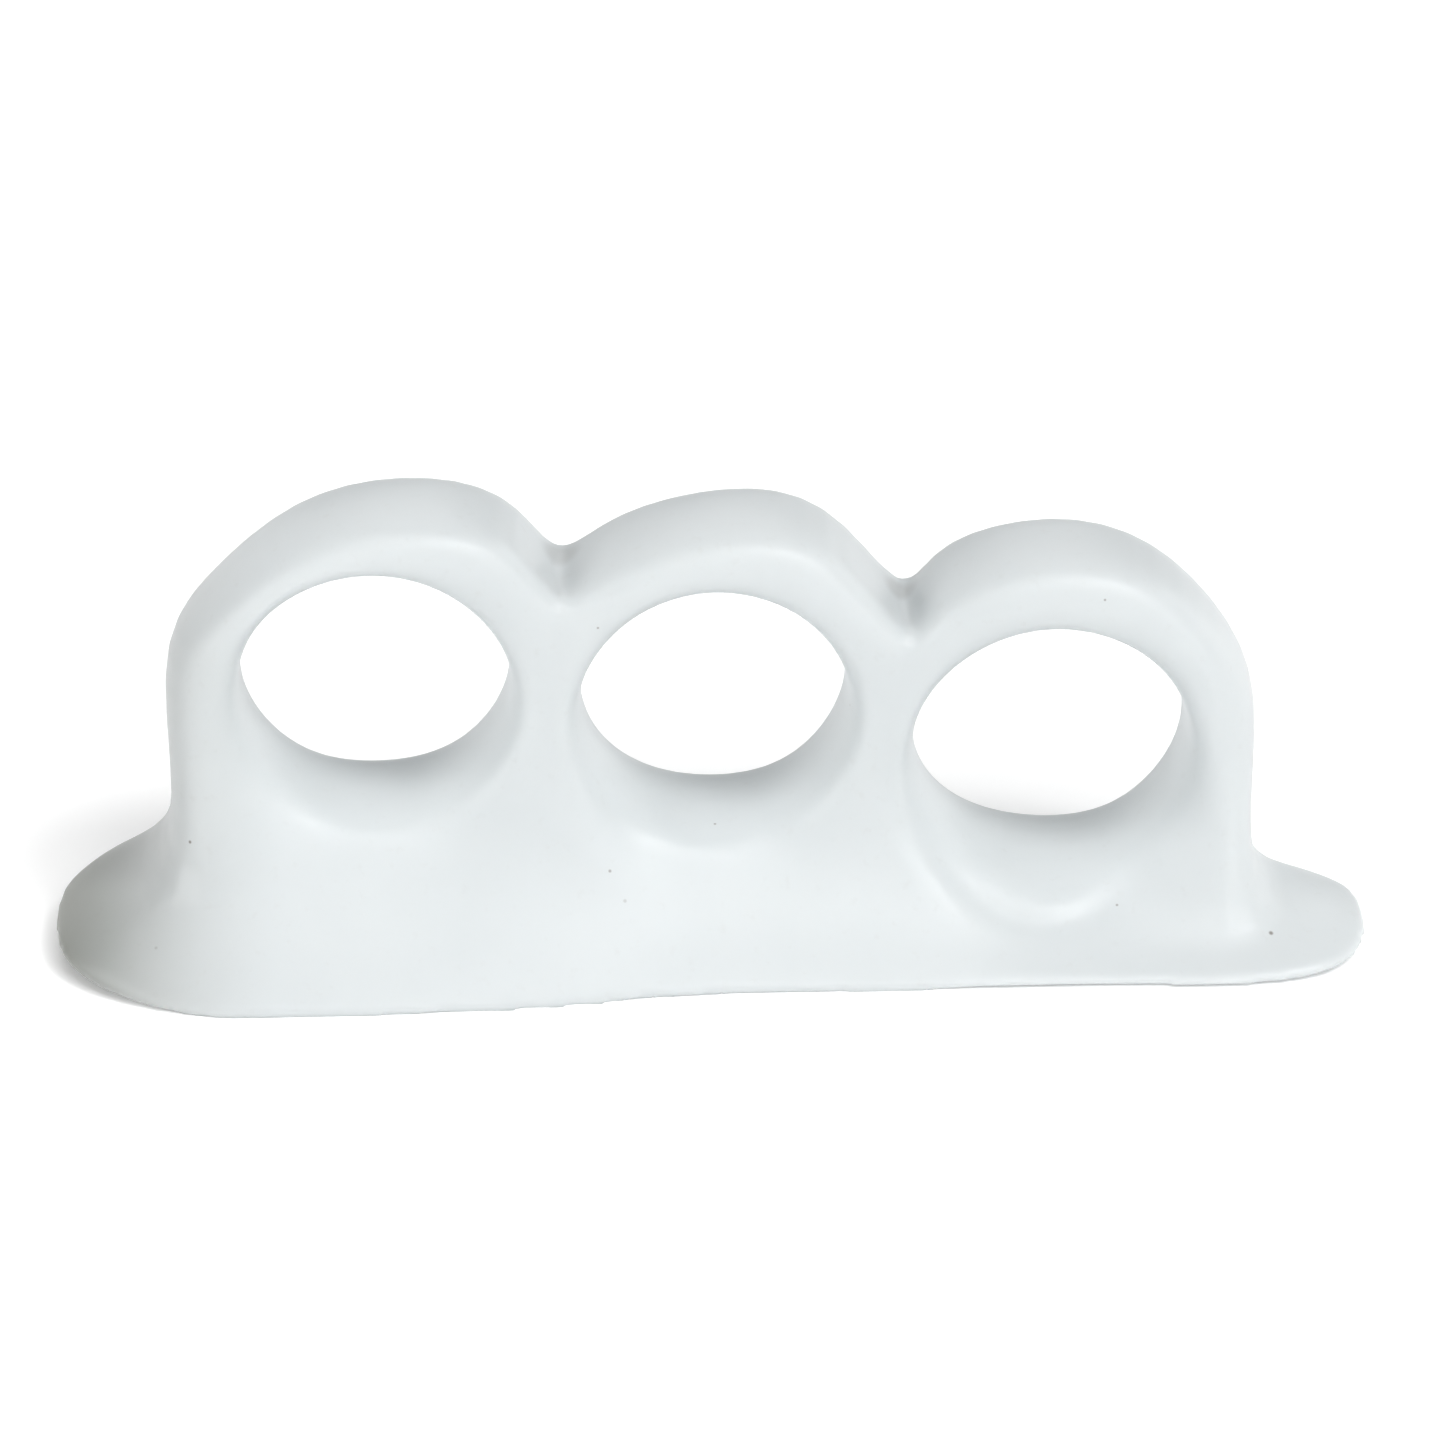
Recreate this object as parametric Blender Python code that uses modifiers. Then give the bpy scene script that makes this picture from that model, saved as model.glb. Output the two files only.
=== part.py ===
"""Toe crest pad: one piece of soft white gel, a crest that fills the hollow under the toes with three loops over them.

Metres, +Z up. X runs along the pad from its big toe end (-X) to its little toe end (+X), and Y from the toe
tips' side (-Y) to the side of the ball of the foot (+Y). The origin lies on the flat underside, below the axis
of the middle loop, level with the middle of the first loop's band.

The form is a coarse cage with Subdivision Surface. The cage starts as a sheet in the XZ plane, the pad's front
view with three bores in it. The sheet is doubled into a front face and a back face, and walls of three strips
join the two round the outline and through each bore.
"""

import math
from collections import Counter, namedtuple

import bmesh
import bpy

MM = 0.001

# The three loops
LOOP_BORE = 16.9 * MM
LOOP_PITCH = 20.8 * MM
LOOP_DEPTH = 9.2 * MM
CROWN_DEPTH = 8.8 * MM
CROWN_WALL = 2.9 * MM
CROWN_LEAN = 1.7 * MM
SIDE_WALL = 4.2 * MM
VALLEY_RISE = 1.2 * MM
VALLEY_SHIFT = 0.9 * MM
LOOP_SET_BACK = 1.15 * MM

# The crest under them
CREST_THICKNESS = 8.95 * MM
CREST_FRONT = 12.5 * MM
CREST_BACK = 8.7 * MM
FLARE_RISE = 1.5 * MM
UNDERSIDE_EDGE = 0.4 * MM
UNDERSIDE_EASE = 1.1 * MM
UNDERSIDE_PRESS = 0.1 * MM

# The ends that reach past the outer loops
BIG_TOE_REACH = 7.6 * MM
BIG_TOE_HEIGHT = 5.9 * MM
LITTLE_TOE_REACH = 7.5 * MM
LITTLE_TOE_HEIGHT = 2.5 * MM
FOOT_TUCK = 0.8 * MM

# Rounding of the edges
CROWN_RIM = 0.35 * MM
CREST_RIM = 1.2 * MM
CROWN_EASE = 2.4 * MM
CREST_EASE = 2.4 * MM
VALLEY_EASE = 3.0 * MM
CROWN_EDGE = 1.0 * MM
VALLEY_EDGE = 1.5 * MM
SIDE_EDGE = 1.3 * MM

# Each loop's own share of the crest's thickness, of the set-back, of the bore, and of the crown's wall and lean
Loop = namedtuple("Loop", "name thickness set_back bore wall lean")
LOOPS = (
    Loop("second_toe", 1.00, 0.00, 0.985, 1.08, 1.00),
    Loop("third_toe", 0.79, 0.78, 0.98, 1.20, 0.45),
    Loop("fourth_toe", 0.43, 1.00, 1.01, 1.44, 0.10),
)

# Each valley's own share of the rise above the loops' outer walls and of the shift towards the little toe
Valley = namedtuple("Valley", "name rise shift")
VALLEYS = (
    Valley("second_to_third", 1.00, 0.25),
    Valley("third_to_fourth", 0.45, 1.00),
)

# The plan at each place along the pad: how far the crest reaches at the underside, as shares of CREST_FRONT and
# CREST_BACK, and the depth of the loops' bands, as a share of LOOP_DEPTH and CROWN_DEPTH
Plan = namedtuple("Plan", "place front back band")
PLAN = (
    Plan("big_toe_side", 0.98, 0.94, 0.90),
    Plan("second_toe", 1.00, 1.00, 1.00),
    Plan("third_toe", 0.86, 0.95, 1.00),
    Plan("fourth_toe", 0.85, 0.78, 1.00),
    Plan("little_toe_side", 0.88, 0.40, 0.90),
)

# Points of an end, as shares: along its reach, up its height, and of CREST_FRONT and CREST_BACK there
EndPoint = namedtuple("EndPoint", "place along height front back")
BIG_TOE_END = (
    EndPoint("top", 0.60, 0.67, 0.50, 0.48),
    EndPoint("middle", 0.64, 0.42, 0.77, 0.58),
    EndPoint("floor", 0.64, 0.08, 0.82, 0.54),
    EndPoint("nose", 1.17, 0.31, 0.56, 0.12),
)
LITTLE_TOE_END = (
    EndPoint("top", 0.60, 0.84, 0.54, 0.12),
    EndPoint("middle", 0.66, 0.52, 0.78, 0.18),
    EndPoint("floor", 0.66, 0.14, 0.86, 0.14),
    EndPoint("nose", 1.10, 0.42, 0.56, -0.04),
)

# The crest's front and back rise from the underside to the loops in a hollow curve of this power
FLARE_POWER = 1.5
END_EASE_SHARE = 0.3
SOLE_SHARE = 0.66
MIDDLE_SHARE = 0.34

# Cage points round a loop: 0 is at +X, and they go up and round
STATIONS = 12
QUARTER, HALF = STATIONS // 4, STATIONS // 2
SHARED = {1: "valley", 0: "web", STATIONS - 1: "saddle"}
SOLE_STATIONS = (8, 9, 10)
VALLEY_CREASE = 0.3

SMOOTH_LEVELS = 2
SETTLE_ROUNDS = 12

GEL_COLOUR = (0.86, 0.88, 0.88, 1.0)
GEL_ROUGHNESS = 0.4

# A point of the sheet: where it is on the two faces, where it is inside the walls, and how deep the walls ease in
SheetPoint = namedtuple("SheetPoint", "x z front back wall_x wall_z ease")


def mix(a, b, share):
    return a + (b - a) * share


def station_angle(station):
    return 2 * math.pi * station / STATIONS


def loop_x(loop):
    return (loop - (len(LOOPS) - 1) / 2) * LOOP_PITCH


def loop_thickness(loop):
    return LOOPS[loop].thickness * CREST_THICKNESS


def loop_z(loop):
    return loop_thickness(loop) + LOOP_BORE / 2


def side_x(end):
    """Where the outer wall of the end loop stands: end is -1 at the big toe and 1 at the little toe."""
    return end * (loop_x(len(LOOPS) - 1) + LOOP_BORE / 2 + SIDE_WALL)


def along_pad(x, values):
    """A value at x, on a smooth curve through one value at each place of PLAN."""
    places = [side_x(-1), *(loop_x(loop) for loop in range(len(LOOPS))), side_x(1)]
    last = len(places) - 1
    slopes = []
    for i in range(last + 1):
        before, after = max(i - 1, 0), min(i + 1, last)
        slopes.append((values[after] - values[before]) / (places[after] - places[before]))
    x = min(max(x, places[0]), places[-1])
    i = next(i for i in range(last) if x <= places[i + 1])
    span = places[i + 1] - places[i]
    t = (x - places[i]) / span
    rise = t * t * (3 - 2 * t)
    return (
        mix(values[i], values[i + 1], rise)
        + slopes[i] * span * t * (1 - t) ** 2
        - slopes[i + 1] * span * t * t * (1 - t)
    )


def with_ends(values):
    """One value for each loop, made one for each place of PLAN."""
    return [values[0], *values, values[-1]]


def face_y(x, z, side):
    """The front face (side -1) or back face (side 1) at this point of the sheet."""
    axis_z = along_pad(x, with_ends([loop_z(loop) for loop in range(len(LOOPS))]))
    middle = along_pad(x, with_ends([loop.set_back * LOOP_SET_BACK for loop in LOOPS]))
    reach = CREST_FRONT if side < 0 else CREST_BACK
    shares = [row.front if side < 0 else row.back for row in PLAN]
    floor_y = side * reach * along_pad(x, shares)
    band = along_pad(x, [row.band for row in PLAN]) if side > 0 else 1
    axis_y = middle + side * LOOP_DEPTH * (band - 0.5)
    crown_y = middle + side * CROWN_DEPTH * (band - 0.5)
    flare_top = axis_z - LOOP_BORE / 2 + FLARE_RISE
    if z < flare_top:
        rise = (z - UNDERSIDE_EDGE) / (flare_top - UNDERSIDE_EDGE)
        return mix(axis_y, floor_y, (1 - rise) ** FLARE_POWER)
    if z < axis_z:
        return axis_y
    return mix(axis_y, crown_y, (z - axis_z) / (LOOP_BORE / 2 + CROWN_WALL))


def crest_share(station):
    """0 at the top of a loop and 1 at its bottom."""
    return (1 - math.sin(station_angle(station))) / 2


def rim_point(loop, station):
    angle = station_angle(station)
    across, up = math.cos(angle), math.sin(angle)
    bore = LOOPS[loop].bore * LOOP_BORE / 2
    rim = bore + mix(CROWN_RIM, CREST_RIM, crest_share(station))
    x, z = loop_x(loop) + rim * across, loop_z(loop) + rim * up
    return SheetPoint(
        x,
        z,
        face_y(x, z, -1),
        face_y(x, z, 1),
        loop_x(loop) + bore * across,
        loop_z(loop) + bore * up,
        mix(CROWN_EASE, CREST_EASE, crest_share(station)),
    )


def outer_place(loop, station, inset):
    """Where the loop's own outer wall has this station, in X and Z."""
    angle = station_angle(station)
    width = LOOP_BORE / 2 + SIDE_WALL - inset
    height = LOOP_BORE / 2 + LOOPS[loop].wall * CROWN_WALL - inset
    lean = LOOPS[loop].lean * CROWN_LEAN * max(math.sin(angle), 0)
    return loop_x(loop) + width * math.cos(angle) + lean, loop_z(loop) + height * math.sin(angle)


def outer_key(loop, station):
    """Neighbouring loops share the three points between them."""
    if station in SHARED and loop < len(LOOPS) - 1:
        return SHARED[station], loop
    mirrored = (HALF - station) % STATIONS
    if mirrored in SHARED and loop > 0:
        return SHARED[mirrored], loop - 1
    return "outer", loop, station


def wall_point(face, wall, ease):
    (x, z), (wall_x, wall_z) = face, wall
    return SheetPoint(x, z, face_y(x, z, -1), face_y(x, z, 1), wall_x, wall_z, ease)


def flat_point(x, z):
    """A point inside the sheet, on the two faces alone."""
    return SheetPoint(x, z, face_y(x, z, -1), face_y(x, z, 1), None, None, None)


def loop_points():
    """The rims of the bores and the outer walls of the loops."""
    points = {}
    last = len(LOOPS) - 1
    for loop in range(len(LOOPS)):
        for station in range(STATIONS):
            points["rim", loop, station] = rim_point(loop, station)
            key = outer_key(loop, station)
            if key[0] == "outer" and station not in SOLE_STATIONS:
                edge = CROWN_EDGE if station in (2, 3, 4) else SIDE_EDGE
                face = outer_place(loop, station, edge)
                wall = outer_place(loop, station, 0)
                points[key] = wall_point(face, wall, CROWN_EASE)
        for station in SOLE_STATIONS:
            x, _ = outer_place(loop, station, SIDE_WALL / 2)
            rim_z = points["rim", loop, station].z
            points["outer", loop, station] = flat_point(x, rim_z * SOLE_SHARE)
    for loop in range(last):
        for station, name in SHARED.items():
            places = []
            for inset in (VALLEY_EDGE, 0):
                x0, z0 = outer_place(loop, station, inset)
                x1, z1 = outer_place(loop + 1, (HALF - station) % STATIONS, inset)
                x, z = (x0 + x1) / 2, (z0 + z1) / 2
                if name == "valley":
                    x += VALLEYS[loop].shift * VALLEY_SHIFT
                    z += VALLEYS[loop].rise * VALLEY_RISE
                places.append((x, z))
            if name == "valley":
                points[name, loop] = wall_point(*places, VALLEY_EASE)
            else:
                points[name, loop] = flat_point(*places[0])
    for end, loop, station, height in (
        (-1, 0, HALF + 1, BIG_TOE_HEIGHT),
        (1, last, STATIONS - 1, LITTLE_TOE_HEIGHT),
    ):
        x = side_x(end) - end * FOOT_TUCK
        wall = (x, height)
        face = (x - end * SIDE_EDGE, height - SIDE_EDGE / 2)
        points["outer", loop, station] = wall_point(face, wall, CREST_EASE)
    return points


def upper_row():
    """The keys along the top of the crest, from the big toe end to the little toe end."""
    row = [("outer", 0, HALF + 1)]
    for loop in range(len(LOOPS)):
        row += [("outer", loop, station) for station in SOLE_STATIONS]
        row.append(outer_key(loop, STATIONS - 1))
    return row


def crest_points(points):
    """The crest's middle row, and its lower edge with the underside."""
    for column, key in enumerate(upper_row()):
        x, z = points[key].x, points[key].z
        points["middle", column] = flat_point(x, z * MIDDLE_SHARE / SOLE_SHARE)
        points["floor", column] = wall_point((x, UNDERSIDE_EDGE), (x, 0), UNDERSIDE_EASE)


def end_points(points, end, table):
    """The end that reaches past an outer loop."""
    reach = BIG_TOE_REACH if end < 0 else LITTLE_TOE_REACH
    height = BIG_TOE_HEIGHT if end < 0 else LITTLE_TOE_HEIGHT
    for row in table:
        x = side_x(end) + end * row.along * reach
        z = row.height * height
        wall_x, wall_z = x, z
        if row.place == "floor":
            wall_z = 0
        if row.place == "top":
            z -= SIDE_EDGE / 2
        if row.place == "nose":
            x -= end * SIDE_EDGE
        front, back = -row.front * CREST_FRONT, row.back * CREST_BACK
        ease = {"middle": None, "floor": UNDERSIDE_EASE}.get(row.place, (back - front) * END_EASE_SHARE)
        points["end", end, row.place] = SheetPoint(x, z, front, back, wall_x, wall_z, ease)


def sheet_faces():
    """The sheet's four-sided faces, each a ring of keys."""
    faces = []
    for loop in range(len(LOOPS)):
        for station in range(STATIONS):
            after = (station + 1) % STATIONS
            faces.append(
                (
                    ("rim", loop, station),
                    outer_key(loop, station),
                    outer_key(loop, after),
                    ("rim", loop, after),
                )
            )
    row = upper_row()
    for column in range(len(row) - 1):
        after = column + 1
        faces.append(
            (row[column], ("middle", column), ("middle", after), row[after])
        )
        faces.append(
            (("middle", column), ("floor", column), ("floor", after), ("middle", after))
        )
    for end, column in ((-1, 0), (1, len(row) - 1)):
        top, middle, floor, nose = (
            ("end", end, place) for place in ("top", "middle", "floor", "nose")
        )
        faces.append((top, middle, ("middle", column), row[column]))
        faces.append((middle, floor, ("floor", column), ("middle", column)))
        faces.append((top, nose, floor, middle))
    return faces


def build_cage(name):
    """The cage as a mesh, with its valleys creased."""
    points = loop_points()
    crest_points(points)
    end_points(points, -1, BIG_TOE_END)
    end_points(points, 1, LITTLE_TOE_END)
    faces = sheet_faces()

    bm = bmesh.new()
    layers = {}
    for key, p in points.items():
        places = [(p.x, p.front, p.z)]
        if p.ease is not None:
            places.append((p.wall_x, p.front + p.ease, p.wall_z))
            places.append((p.wall_x, p.back - p.ease, p.wall_z))
        places.append((p.x, p.back, p.z))
        layers[key] = [bm.verts.new(place) for place in places]

    uses = Counter()
    for face in faces:
        bm.faces.new([layers[key][0] for key in face])
        bm.faces.new([layers[key][-1] for key in reversed(face)])
        for a, b in zip(face, face[1:] + face[:1]):
            uses[frozenset((a, b))] += 1
    for edge, count in uses.items():
        if count == 1:
            a, b = edge
            for k in range(3):
                bm.faces.new(
                    (layers[a][k], layers[b][k], layers[b][k + 1], layers[a][k + 1])
                )
    bmesh.ops.recalc_face_normals(bm, faces=bm.faces)

    crease = bm.edges.layers.float.new("crease_edge")
    for edge, count in uses.items():
        a, b = edge
        if count == 1 and "floor" in (a[0], a[-1]) and "floor" in (b[0], b[-1]):
            for layer in (1, 2):
                bm.edges.get((layers[a][layer], layers[b][layer]))[crease] = 1
    for loop in range(len(LOOPS) - 1):
        valley = layers["valley", loop]
        for a, b in zip(valley, valley[1:]):
            bm.edges.get((a, b))[crease] = VALLEY_CREASE

    bm.verts.index_update()
    exact = [
        vert.index
        for key, verts in layers.items()
        for vert in verts
        if is_exact(key)
    ]
    mesh = bpy.data.meshes.new(name)
    bm.to_mesh(mesh)
    bm.free()
    return mesh, exact


def is_exact(key):
    """The bores, the loops' walls, the valleys and the edge of the underside are held to their sizes."""
    if key[0] == "outer":
        return key[2] < HALF + 1
    return key[0] in ("rim", "valley", "floor")


def settle(cage, exact):
    """Moves these points of the cage until the smooth surface passes through the places that they had at first."""
    targets = {i: cage.data.vertices[i].co.copy() for i in exact}
    for _ in range(SETTLE_ROUNDS):
        graph = bpy.context.evaluated_depsgraph_get()
        smooth = cage.evaluated_get(graph).data.vertices
        moves = {i: target - smooth[i].co for i, target in targets.items()}
        for i, move in moves.items():
            cage.data.vertices[i].co += move
        cage.data.update()


def press_underside(mesh):
    """Makes the underside truly flat, up to where its edge has risen by UNDERSIDE_PRESS."""
    for vertex in mesh.vertices:
        if vertex.co.z < UNDERSIDE_PRESS:
            vertex.co.z = 0


def gel_material():
    material = bpy.data.materials.new("white_gel")
    material.use_nodes = True
    shader = material.node_tree.nodes["Principled BSDF"]
    shader.inputs["Base Color"].default_value = GEL_COLOUR
    shader.inputs["Roughness"].default_value = GEL_ROUGHNESS
    shader.inputs["Metallic"].default_value = 0.0
    return material


def build():
    for obj in list(bpy.data.objects):
        bpy.data.objects.remove(obj)
    collection = bpy.data.collections.new("toe_crest_pad")
    bpy.context.scene.collection.children.link(collection)

    cage_mesh, exact = build_cage("gel_crest_cage")
    cage = bpy.data.objects.new("gel_crest_pad", cage_mesh)
    collection.objects.link(cage)
    smooth = cage.modifiers.new("smooth", "SUBSURF")
    smooth.levels = smooth.render_levels = SMOOTH_LEVELS
    settle(cage, exact)

    graph = bpy.context.evaluated_depsgraph_get()
    mesh = bpy.data.meshes.new_from_object(cage.evaluated_get(graph))
    cage.modifiers.clear()
    cage.data = mesh
    press_underside(mesh)
    mesh.shade_smooth()
    mesh.materials.clear()
    mesh.materials.append(gel_material())


build()
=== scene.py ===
"""The toe crest pad's finish: smooth white gel with a satin skin, on a plain pale floor in soft light."""

import math
from collections import namedtuple

import bmesh
import bpy
import numpy as np
from mathutils import Matrix, Vector
from mathutils.bvhtree import BVHTree


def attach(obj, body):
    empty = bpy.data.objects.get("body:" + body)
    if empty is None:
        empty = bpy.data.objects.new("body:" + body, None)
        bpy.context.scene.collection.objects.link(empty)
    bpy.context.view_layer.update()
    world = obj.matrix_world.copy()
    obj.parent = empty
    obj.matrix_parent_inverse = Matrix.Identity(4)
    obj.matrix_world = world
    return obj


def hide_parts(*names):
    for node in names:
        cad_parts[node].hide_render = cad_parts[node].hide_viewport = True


MM = 0.001

# The camera: straight at the middle of the pad, from above its front
AIM = Vector((0.0, 0.0, 13.8 * MM))
AIM_OFFSET = (0.55 * MM, -0.46 * MM)
AZIMUTH = -2.0
ELEVATION = 28.2
DISTANCE = 0.365
LENS = 147.2
SENSOR = 36.0

# The studio: soft round lights, the sky and the lit floor; angles in degrees, sizes in metres, power in watts
LIGHT_DISTANCE = 1.5
Light = namedtuple("Light", "name azimuth elevation size power")
LIGHTS = (
    Light("front_left", -60, 15, 1.1, 9),
    Light("front", 10, 45, 1.1, 5),
    Light("front_right_low", 45, 15, 1.1, 3.5),
    Light("front_right", 45, 45, 1.1, 6),
    Light("right_spark", 55, 55, 0.35, 5),
    Light("back_right", 120, 15, 1.1, 4),
    Light("back", 180, 45, 1.1, 4),
    Light("back_left", -140, 15, 1.1, 3),
    Light("top", 20, 72, 1.1, 5.5),
)
SKY = 0.13
FLOOR_SIZE = 3.0
FLOOR_COLOUR = (0.97, 0.97, 0.97, 1)
FLOOR_GLOW = 0.12

# The gel's surface: how fine its mesh is, and how its facets are eased away
NODE = "gel_crest_pad"
VOXEL = 0.3 * MM
EASE_ROUNDS = 22
EASE_IN = 0.5
EASE_OUT = -0.53
FLAT = 0.05 * MM
SAME_PLACE = 0.001 * MM

# The gel's own white, in faint clouds, and the dust on it
WHITE_DARK = (0.585, 0.617, 0.628, 1)
WHITE_LIGHT = (0.612, 0.643, 0.652, 1)
DUST = (0.5, 0.5, 0.49, 1)
DUST_SHARE = 0.16
MARK_AND_SHADE_COLOUR = (0.16, 0.14, 0.12, 1)

# How many times in a metre each pattern repeats
CLOUD_SCALE = 90.0
DUST_SCALE = 1500.0
GRAIN_SCALE = 2600.0
WAVE_SCALE = 220.0

# Gloss and the light that goes into the gel
GLOSSY, DULL = 0.36, 0.48
GRAIN_HEIGHT = 0.02 * MM
WAVE_HEIGHT = 0.12 * MM
LIGHT_REACH = 1.6 * MM

# Painted shade towards the big toe end: from and to along X, and how much of the gel's own colour is left
PAINTED_SHADE_SPAN = (-41.0 * MM, -27.0 * MM)
PAINTED_SHADE_STOPS = (
    (0.0, (0.40, 0.39, 0.35)),
    (0.2, (0.50, 0.495, 0.465)),
    (0.4, (0.71, 0.70, 0.68)),
    (0.65, (0.91, 0.905, 0.895)),
    (1.0, (1.0, 1.0, 1.0)),
)

# Marks on the gel and painted shade, as seen from the camera: share of the frame across and down, radius, and
# how dark.
# The first ten are specks; the last two are painted shade in the valleys between the loops.
MarkOrShade = namedtuple("MarkOrShade", "across down radius dark")
MARKS_AND_SHADE = (
    MarkOrShade(0.1315, 0.5827, 0.15 * MM, 0.8),
    MarkOrShade(0.4221, 0.6028, 0.14 * MM, 0.6),
    MarkOrShade(0.4948, 0.5702, 0.12 * MM, 0.7),
    MarkOrShade(0.8796, 0.6457, 0.20 * MM, 0.8),
    MarkOrShade(0.7647, 0.4152, 0.11 * MM, 0.6),
    MarkOrShade(0.7730, 0.6263, 0.12 * MM, 0.6),
    MarkOrShade(0.5882, 0.4879, 0.10 * MM, 0.6),
    MarkOrShade(0.4138, 0.4346, 0.11 * MM, 0.6),
    MarkOrShade(0.1080, 0.6560, 0.14 * MM, 0.3),
    MarkOrShade(0.4325, 0.6235, 0.16 * MM, 0.3),
    MarkOrShade(0.3880, 0.3845, 1.70 * MM, 0.22),
    MarkOrShade(0.6215, 0.4085, 1.60 * MM, 0.22),
)
MARK_CORE = 0.3


def direction(azimuth, elevation):
    """Away from the pad, by angles in degrees: azimuth 0 is in front and 90 at the little toe end."""
    azimuth, elevation = math.radians(azimuth), math.radians(elevation)
    return Vector(
        (
            math.sin(azimuth) * math.cos(elevation),
            -math.cos(azimuth) * math.cos(elevation),
            math.sin(elevation),
        )
    )


def camera_axes():
    """The camera's right, up and back directions."""
    back = direction(AZIMUTH, ELEVATION)
    right = direction(AZIMUTH + 90, 0)
    return right, back.cross(right), back


def make_camera():
    right, up, back = camera_axes()
    data = bpy.data.cameras.new("camera")
    data.lens = LENS
    data.sensor_width = SENSOR
    data.clip_start = 0.01
    camera = bpy.data.objects.new("camera", data)
    bpy.context.scene.collection.objects.link(camera)
    place = AIM + right * AIM_OFFSET[0] + up * AIM_OFFSET[1] + back * DISTANCE
    axes = Matrix((right, up, back)).transposed().to_4x4()
    camera.matrix_world = Matrix.Translation(place) @ axes
    bpy.context.scene.camera = camera


def make_floor():
    bm = bmesh.new()
    bmesh.ops.create_grid(bm, x_segments=1, y_segments=1, size=FLOOR_SIZE)
    mesh = bpy.data.meshes.new("floor")
    bm.to_mesh(mesh)
    bm.free()
    floor = bpy.data.objects.new("floor", mesh)
    bpy.context.scene.collection.objects.link(floor)
    material = bpy.data.materials.new("pale_floor")
    material.use_nodes = True
    shader = material.node_tree.nodes["Principled BSDF"]
    shader.inputs["Base Color"].default_value = FLOOR_COLOUR
    shader.inputs["Emission Color"].default_value = (1, 1, 1, 1)
    shader.inputs["Emission Strength"].default_value = FLOOR_GLOW
    shader.inputs["Roughness"].default_value = 0.9
    shader.inputs["Specular IOR Level"].default_value = 0.1
    mesh.materials.append(material)


def area_light(row):
    towards = direction(row.azimuth, row.elevation)
    data = bpy.data.lights.new(row.name, "AREA")
    data.shape = "DISK"
    data.size = row.size
    data.energy = row.power
    light = bpy.data.objects.new(row.name, data)
    light.location = AIM + towards * LIGHT_DISTANCE
    light.rotation_euler = towards.to_track_quat("Z", "Y").to_euler()
    bpy.context.scene.collection.objects.link(light)


def make_light():
    world = bpy.data.worlds.new("studio")
    world.use_nodes = True
    background = world.node_tree.nodes["Background"]
    background.inputs["Color"].default_value = (1.0, 1.0, 1.0, 1)
    background.inputs["Strength"].default_value = SKY
    bpy.context.scene.world = world
    for row in LIGHTS:
        area_light(row)
    bpy.context.scene.view_settings.view_transform = "Standard"


def join(tree, source, socket, target, into):
    tree.links.new(source.outputs[socket], target.inputs[into])


def noise(tree, where, scale, detail):
    node = tree.nodes.new("ShaderNodeTexNoise")
    node.inputs["Scale"].default_value = scale
    node.inputs["Detail"].default_value = detail
    join(tree, where, "Object", node, "Vector")
    return node


def fit_range(tree, source, socket, before, after=(0.0, 1.0)):
    """A number taken from one range to another."""
    node = tree.nodes.new("ShaderNodeMapRange")
    node.inputs["From Min"].default_value, node.inputs["From Max"].default_value = before
    node.inputs["To Min"].default_value, node.inputs["To Max"].default_value = after
    join(tree, source, socket, node, "Value")
    return node


def colour_mix(tree, blend="MIX"):
    node = tree.nodes.new("ShaderNodeMix")
    node.data_type = "RGBA"
    node.blend_type = blend
    return node


def colour_out(node):
    """The colour output of a Mix node, which has one output of each kind under one name."""
    return next(out for out in node.outputs if out.type == "RGBA")


def clouded_white(tree, clouds):
    """Broad faint mottling of the gel's own white."""
    tint = tree.nodes.new("ShaderNodeValToRGB")
    dark, light = tint.color_ramp.elements
    dark.position, dark.color = 0.3, WHITE_DARK
    light.position, light.color = 0.7, WHITE_LIGHT
    join(tree, clouds, "Fac", tint, "Fac")
    return tint


def dusted(tree, where, white):
    """Fine grey dust that the tacky skin has picked up."""
    dust = noise(tree, where, DUST_SCALE, 2.0)
    share = fit_range(tree, dust, "Fac", (0.62, 0.8), (0.0, DUST_SHARE))
    mixed = colour_mix(tree)
    mixed.inputs["B"].default_value = DUST
    join(tree, share, "Result", mixed, "Factor")
    join(tree, white, "Color", mixed, "A")
    return mixed


def painted_end_shade(tree, where, colour):
    """Painted shade over the big toe end, darkest at its tip."""
    place = tree.nodes.new("ShaderNodeSeparateXYZ")
    join(tree, where, "Object", place, "Vector")
    reach = fit_range(tree, place, "X", PAINTED_SHADE_SPAN)
    shade_ramp = tree.nodes.new("ShaderNodeValToRGB")
    ramp = shade_ramp.color_ramp
    ramp.interpolation = "B_SPLINE"
    ramp.elements[0].color = (*PAINTED_SHADE_STOPS[0][1], 1)
    ramp.elements[1].color = (*PAINTED_SHADE_STOPS[-1][1], 1)
    for share, left in PAINTED_SHADE_STOPS[1:-1]:
        ramp.elements.new(share).color = (*left, 1)
    join(tree, reach, "Result", shade_ramp, "Fac")
    mixed = colour_mix(tree, "MULTIPLY")
    mixed.inputs["Factor"].default_value = 1.0
    tree.links.new(colour_out(colour), mixed.inputs["A"])
    join(tree, shade_ramp, "Color", mixed, "B")
    return mixed


def speck_or_painted_shade(tree, where, colour, place, mark):
    """One speck, or a soft patch of painted shade where the radius is large."""
    distance = tree.nodes.new("ShaderNodeVectorMath")
    distance.operation = "DISTANCE"
    distance.inputs[1].default_value = place
    join(tree, where, "Object", distance, 0)
    share = fit_range(tree, distance, "Value", (mark.radius, mark.radius * MARK_CORE), (0.0, mark.dark))
    share.interpolation_type = "SMOOTHSTEP"
    mixed = colour_mix(tree)
    mixed.inputs["B"].default_value = MARK_AND_SHADE_COLOUR
    join(tree, share, "Result", mixed, "Factor")
    tree.links.new(colour_out(colour), mixed.inputs["A"])
    return mixed


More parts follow.
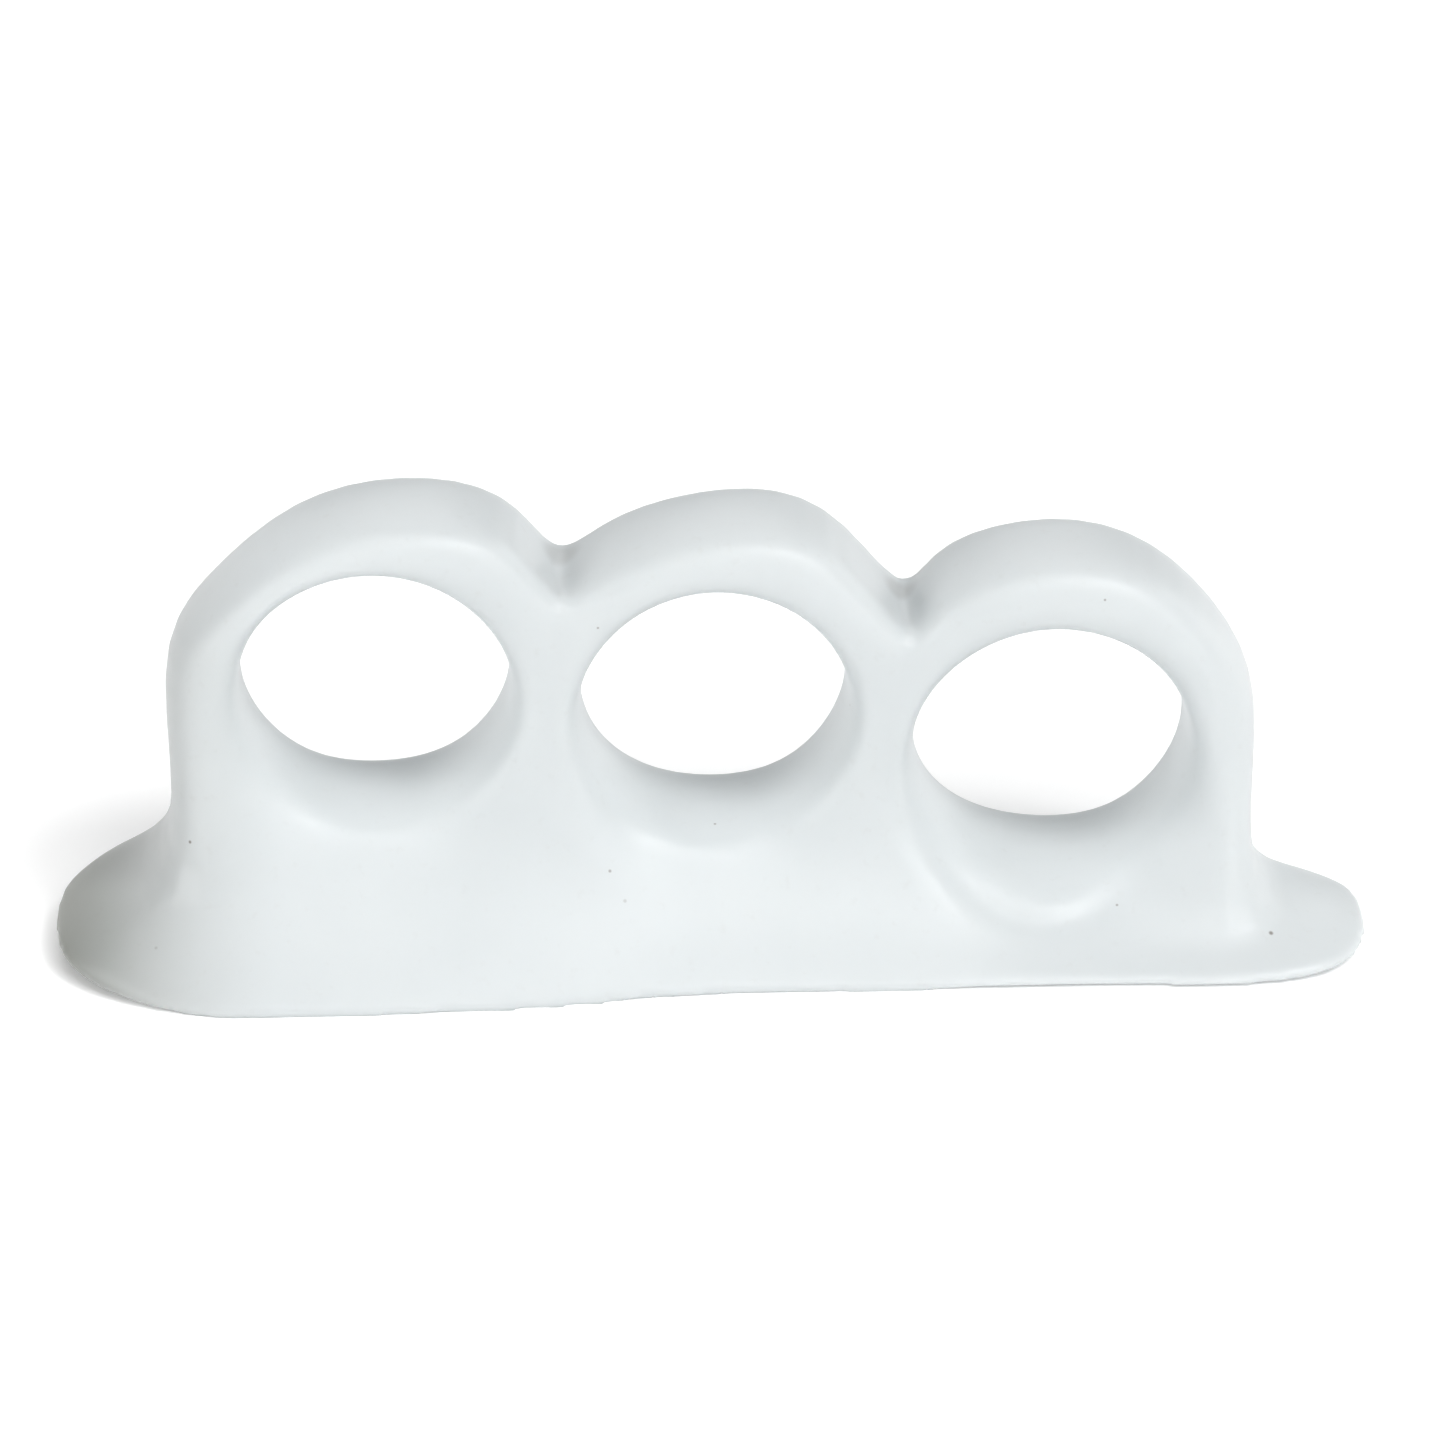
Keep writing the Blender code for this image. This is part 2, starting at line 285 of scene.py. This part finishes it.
def satin_skin(tree, where):
    """Very fine grain over a soft unevenness from the mould."""
    fine = tree.nodes.new("ShaderNodeBump")
    fine.inputs["Strength"].default_value = 0.12
    fine.inputs["Distance"].default_value = GRAIN_HEIGHT
    join(tree, noise(tree, where, GRAIN_SCALE, 2.0), "Fac", fine, "Height")
    broad = tree.nodes.new("ShaderNodeBump")
    broad.inputs["Strength"].default_value = 0.2
    broad.inputs["Distance"].default_value = WAVE_HEIGHT
    join(tree, noise(tree, where, WAVE_SCALE, 2.0), "Fac", broad, "Height")
    join(tree, fine, "Normal", broad, "Normal")
    return broad


def gel_material(marks_and_shade):
    """White gel: light goes a little way in, the skin is satin, with fine dust, mottling, a few marks, and
    painted shade over the big toe end and in the valleys between the loops.
    """
    material = bpy.data.materials.new("white_gel_skin")
    material.use_nodes = True
    tree = material.node_tree
    shader = tree.nodes["Principled BSDF"]
    shader.inputs["IOR"].default_value = 1.42
    shader.inputs["Subsurface Weight"].default_value = 0.35
    shader.inputs["Subsurface Radius"].default_value = (1.0, 0.95, 0.9)
    shader.inputs["Subsurface Scale"].default_value = LIGHT_REACH
    shader.inputs["Coat Weight"].default_value = 0.12
    shader.inputs["Coat Roughness"].default_value = 0.28

    where = tree.nodes.new("ShaderNodeTexCoord")
    clouds = noise(tree, where, CLOUD_SCALE, 3.0)
    # painted shade over the big toe end
    colour = painted_end_shade(tree, where, dusted(tree, where, clouded_white(tree, clouds)))
    # specks, and the painted shade in the valleys between the loops
    for place, mark in marks_and_shade:
        colour = speck_or_painted_shade(tree, where, colour, place, mark)
    tree.links.new(colour_out(colour), shader.inputs["Base Color"])

    join(tree, satin_skin(tree, where), "Normal", shader, "Normal")
    gloss = fit_range(tree, clouds, "Fac", (0.3, 0.7), (GLOSSY, DULL))
    join(tree, gloss, "Result", shader, "Roughness")
    return material


def ease_mesh(mesh):
    """Smooths away facets and voxel steps; every second round swells, so that nothing shrinks."""
    count = len(mesh.vertices)
    points = np.empty(count * 3)
    mesh.vertices.foreach_get("co", points)
    points = points.reshape(count, 3)
    flat = points[:, 2] < FLAT
    edges = np.empty(len(mesh.edges) * 2, dtype=int)
    mesh.edges.foreach_get("vertices", edges)
    start, end = edges.reshape(-1, 2).T
    degree = np.bincount(edges, minlength=count)[:, None]
    for _ in range(EASE_ROUNDS):
        for factor in (EASE_IN, EASE_OUT):
            total = np.empty_like(points)
            for axis in range(3):
                total[:, axis] = np.bincount(start, points[end, axis], count)
                total[:, axis] += np.bincount(end, points[start, axis], count)
            points = points + factor * (total / degree - points)
            points[flat, 2] = 0
    points[:, 2] = np.maximum(points[:, 2], 0)
    mesh.vertices.foreach_set("co", points.ravel())
    mesh.update()


def smooth_gel(node):
    """The molded form again, finely meshed and with its edges eased."""
    mesh = node.data.copy()
    bm = bmesh.new()
    bm.from_mesh(mesh)
    bmesh.ops.remove_doubles(bm, verts=bm.verts, dist=SAME_PLACE)
    bm.to_mesh(mesh)
    bm.free()
    piece = bpy.data.objects.new("gel_pad_skin", mesh)
    bpy.context.scene.collection.objects.link(piece)
    remesh = piece.modifiers.new("fine", "REMESH")
    remesh.mode = "VOXEL"
    remesh.voxel_size = VOXEL
    graph = bpy.context.evaluated_depsgraph_get()
    fine = bpy.data.meshes.new_from_object(piece.evaluated_get(graph))
    piece.modifiers.clear()
    piece.data = fine
    ease_mesh(fine)
    fine.shade_smooth()
    return piece


def mark_and_shade_places(piece):
    """Where each speck, and each patch of painted shade, lies on the gel."""
    right, up, back = camera_axes()
    eye = bpy.context.scene.camera.matrix_world.translation
    half = SENSOR / 2 / LENS
    bm = bmesh.new()
    bm.from_mesh(piece.data)
    tree = BVHTree.FromBMesh(bm)
    places = []
    for mark in MARKS_AND_SHADE:
        ray = -back + right * (mark.across * 2 - 1) * half + up * (1 - mark.down * 2) * half
        hit = tree.ray_cast(eye, ray.normalized())[0]
        if hit is not None:
            places.append((hit, mark))
    bm.free()
    return places


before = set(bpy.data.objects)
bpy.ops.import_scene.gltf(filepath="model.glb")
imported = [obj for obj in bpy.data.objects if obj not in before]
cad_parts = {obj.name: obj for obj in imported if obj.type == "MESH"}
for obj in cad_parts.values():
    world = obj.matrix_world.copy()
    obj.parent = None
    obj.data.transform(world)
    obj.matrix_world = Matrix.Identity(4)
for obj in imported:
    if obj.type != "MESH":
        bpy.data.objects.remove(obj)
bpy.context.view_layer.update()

make_camera()
make_floor()
make_light()

gel = smooth_gel(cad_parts[NODE])
gel.data.materials.clear()
gel.data.materials.append(gel_material(mark_and_shade_places(gel)))
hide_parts(NODE)
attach(gel, "root")
